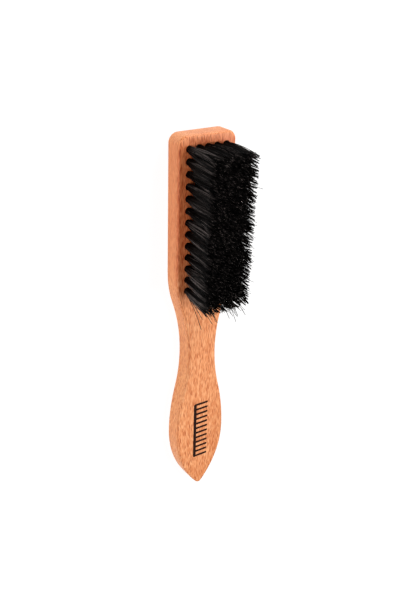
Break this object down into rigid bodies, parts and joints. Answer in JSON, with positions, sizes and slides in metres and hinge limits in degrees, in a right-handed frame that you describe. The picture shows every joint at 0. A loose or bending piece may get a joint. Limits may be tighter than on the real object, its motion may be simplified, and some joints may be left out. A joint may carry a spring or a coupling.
{
  "type": "fade brush",
  "caption": "Small barber's fade brush: flat wooden board with a rectangular head, narrow neck and leaf-shaped grip, and black bristle tufts staple-set in blind holes.",
  "frame": {"origin": "middle of the brush's length and width, on the flat back of the board that it lies on", "axes": "+Z the way the bristles point, out of the board; +Y along the brush from the nose of the grip to the end of the head; +X across the board"},
  "size_m": [0.0286, 0.179, 0.029],
  "materials": {
    "beech": "satin",
    "bristle": "satin",
    "anchor_wire": "bright drawn",
    "print": "matte print"
  },
  "bodies": {
    "root": {"handle_body": "beech", "tuft_row_01": "bristle", "tuft_row_02": "bristle", "tuft_row_03": "bristle", "tuft_row_04": "bristle", "tuft_row_05": "bristle", "tuft_row_06": "bristle", "tuft_row_07": "bristle", "tuft_row_08": "bristle", "tuft_row_09": "bristle", "tuft_row_10": "bristle", "tuft_row_11": "bristle", "tuft_row_12": "bristle", "tuft_row_13": "bristle", "anchor_row_01": "anchor_wire", "anchor_row_02": "anchor_wire", "anchor_row_03": "anchor_wire", "anchor_row_04": "anchor_wire", "anchor_row_05": "anchor_wire", "anchor_row_06": "anchor_wire", "anchor_row_07": "anchor_wire", "anchor_row_08": "anchor_wire", "anchor_row_09": "anchor_wire", "anchor_row_10": "anchor_wire", "anchor_row_11": "anchor_wire", "anchor_row_12": "anchor_wire", "anchor_row_13": "anchor_wire"}
  },
  "joints": []
}
